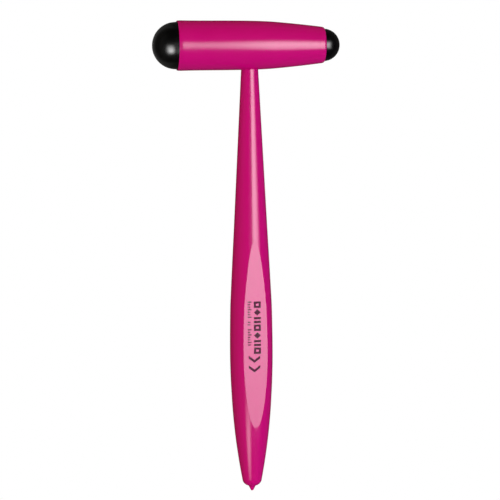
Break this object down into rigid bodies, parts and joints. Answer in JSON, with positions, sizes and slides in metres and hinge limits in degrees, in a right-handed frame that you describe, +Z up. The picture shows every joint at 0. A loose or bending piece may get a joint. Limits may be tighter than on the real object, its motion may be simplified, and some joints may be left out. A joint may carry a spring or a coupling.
{
  "type": "reflex hammer",
  "caption": "T-shaped reflex hammer with a domed rubber tip at each end of a tapered plastic head, a flared handle with a flat facet and a blunt nib.",
  "frame": {"origin": "under the middle of the bounding box, with the hammer lying on its back", "axes": "+X along the head towards the small tip, +Y along the handle towards the head, +Z up, out of the handle's facet side"},
  "size_m": [0.0828, 0.206, 0.0219],
  "materials": {
    "pink_plastic": "semi-gloss moulded ABS, magenta pink",
    "black_rubber": "moulded black rubber, satin",
    "plain_steel": "bright turned steel"
  },
  "bodies": {
    "hammer": {"head_shell": "pink_plastic", "head_weight": "plain_steel", "tie_stud": "plain_steel", "nut_washer": "plain_steel", "captive_nut": "plain_steel", "handle_front_shell": "pink_plastic", "handle_back_shell": "pink_plastic", "stimulus_tip": "pink_plastic"},
    "large_tip": {"large_percussion_tip": "black_rubber"},
    "small_tip": {"small_percussion_tip": "black_rubber"}
  },
  "joints": [
    {"name": "large_tip_pull", "type": "slide", "parent": "hammer", "child": "large_tip", "axis": [-1, 0, 0], "range_m": [0, 0.018]},
    {"name": "small_tip_pull", "type": "slide", "parent": "hammer", "child": "small_tip", "axis": [1, 0, 0], "range_m": [0, 0.016]}
  ]
}
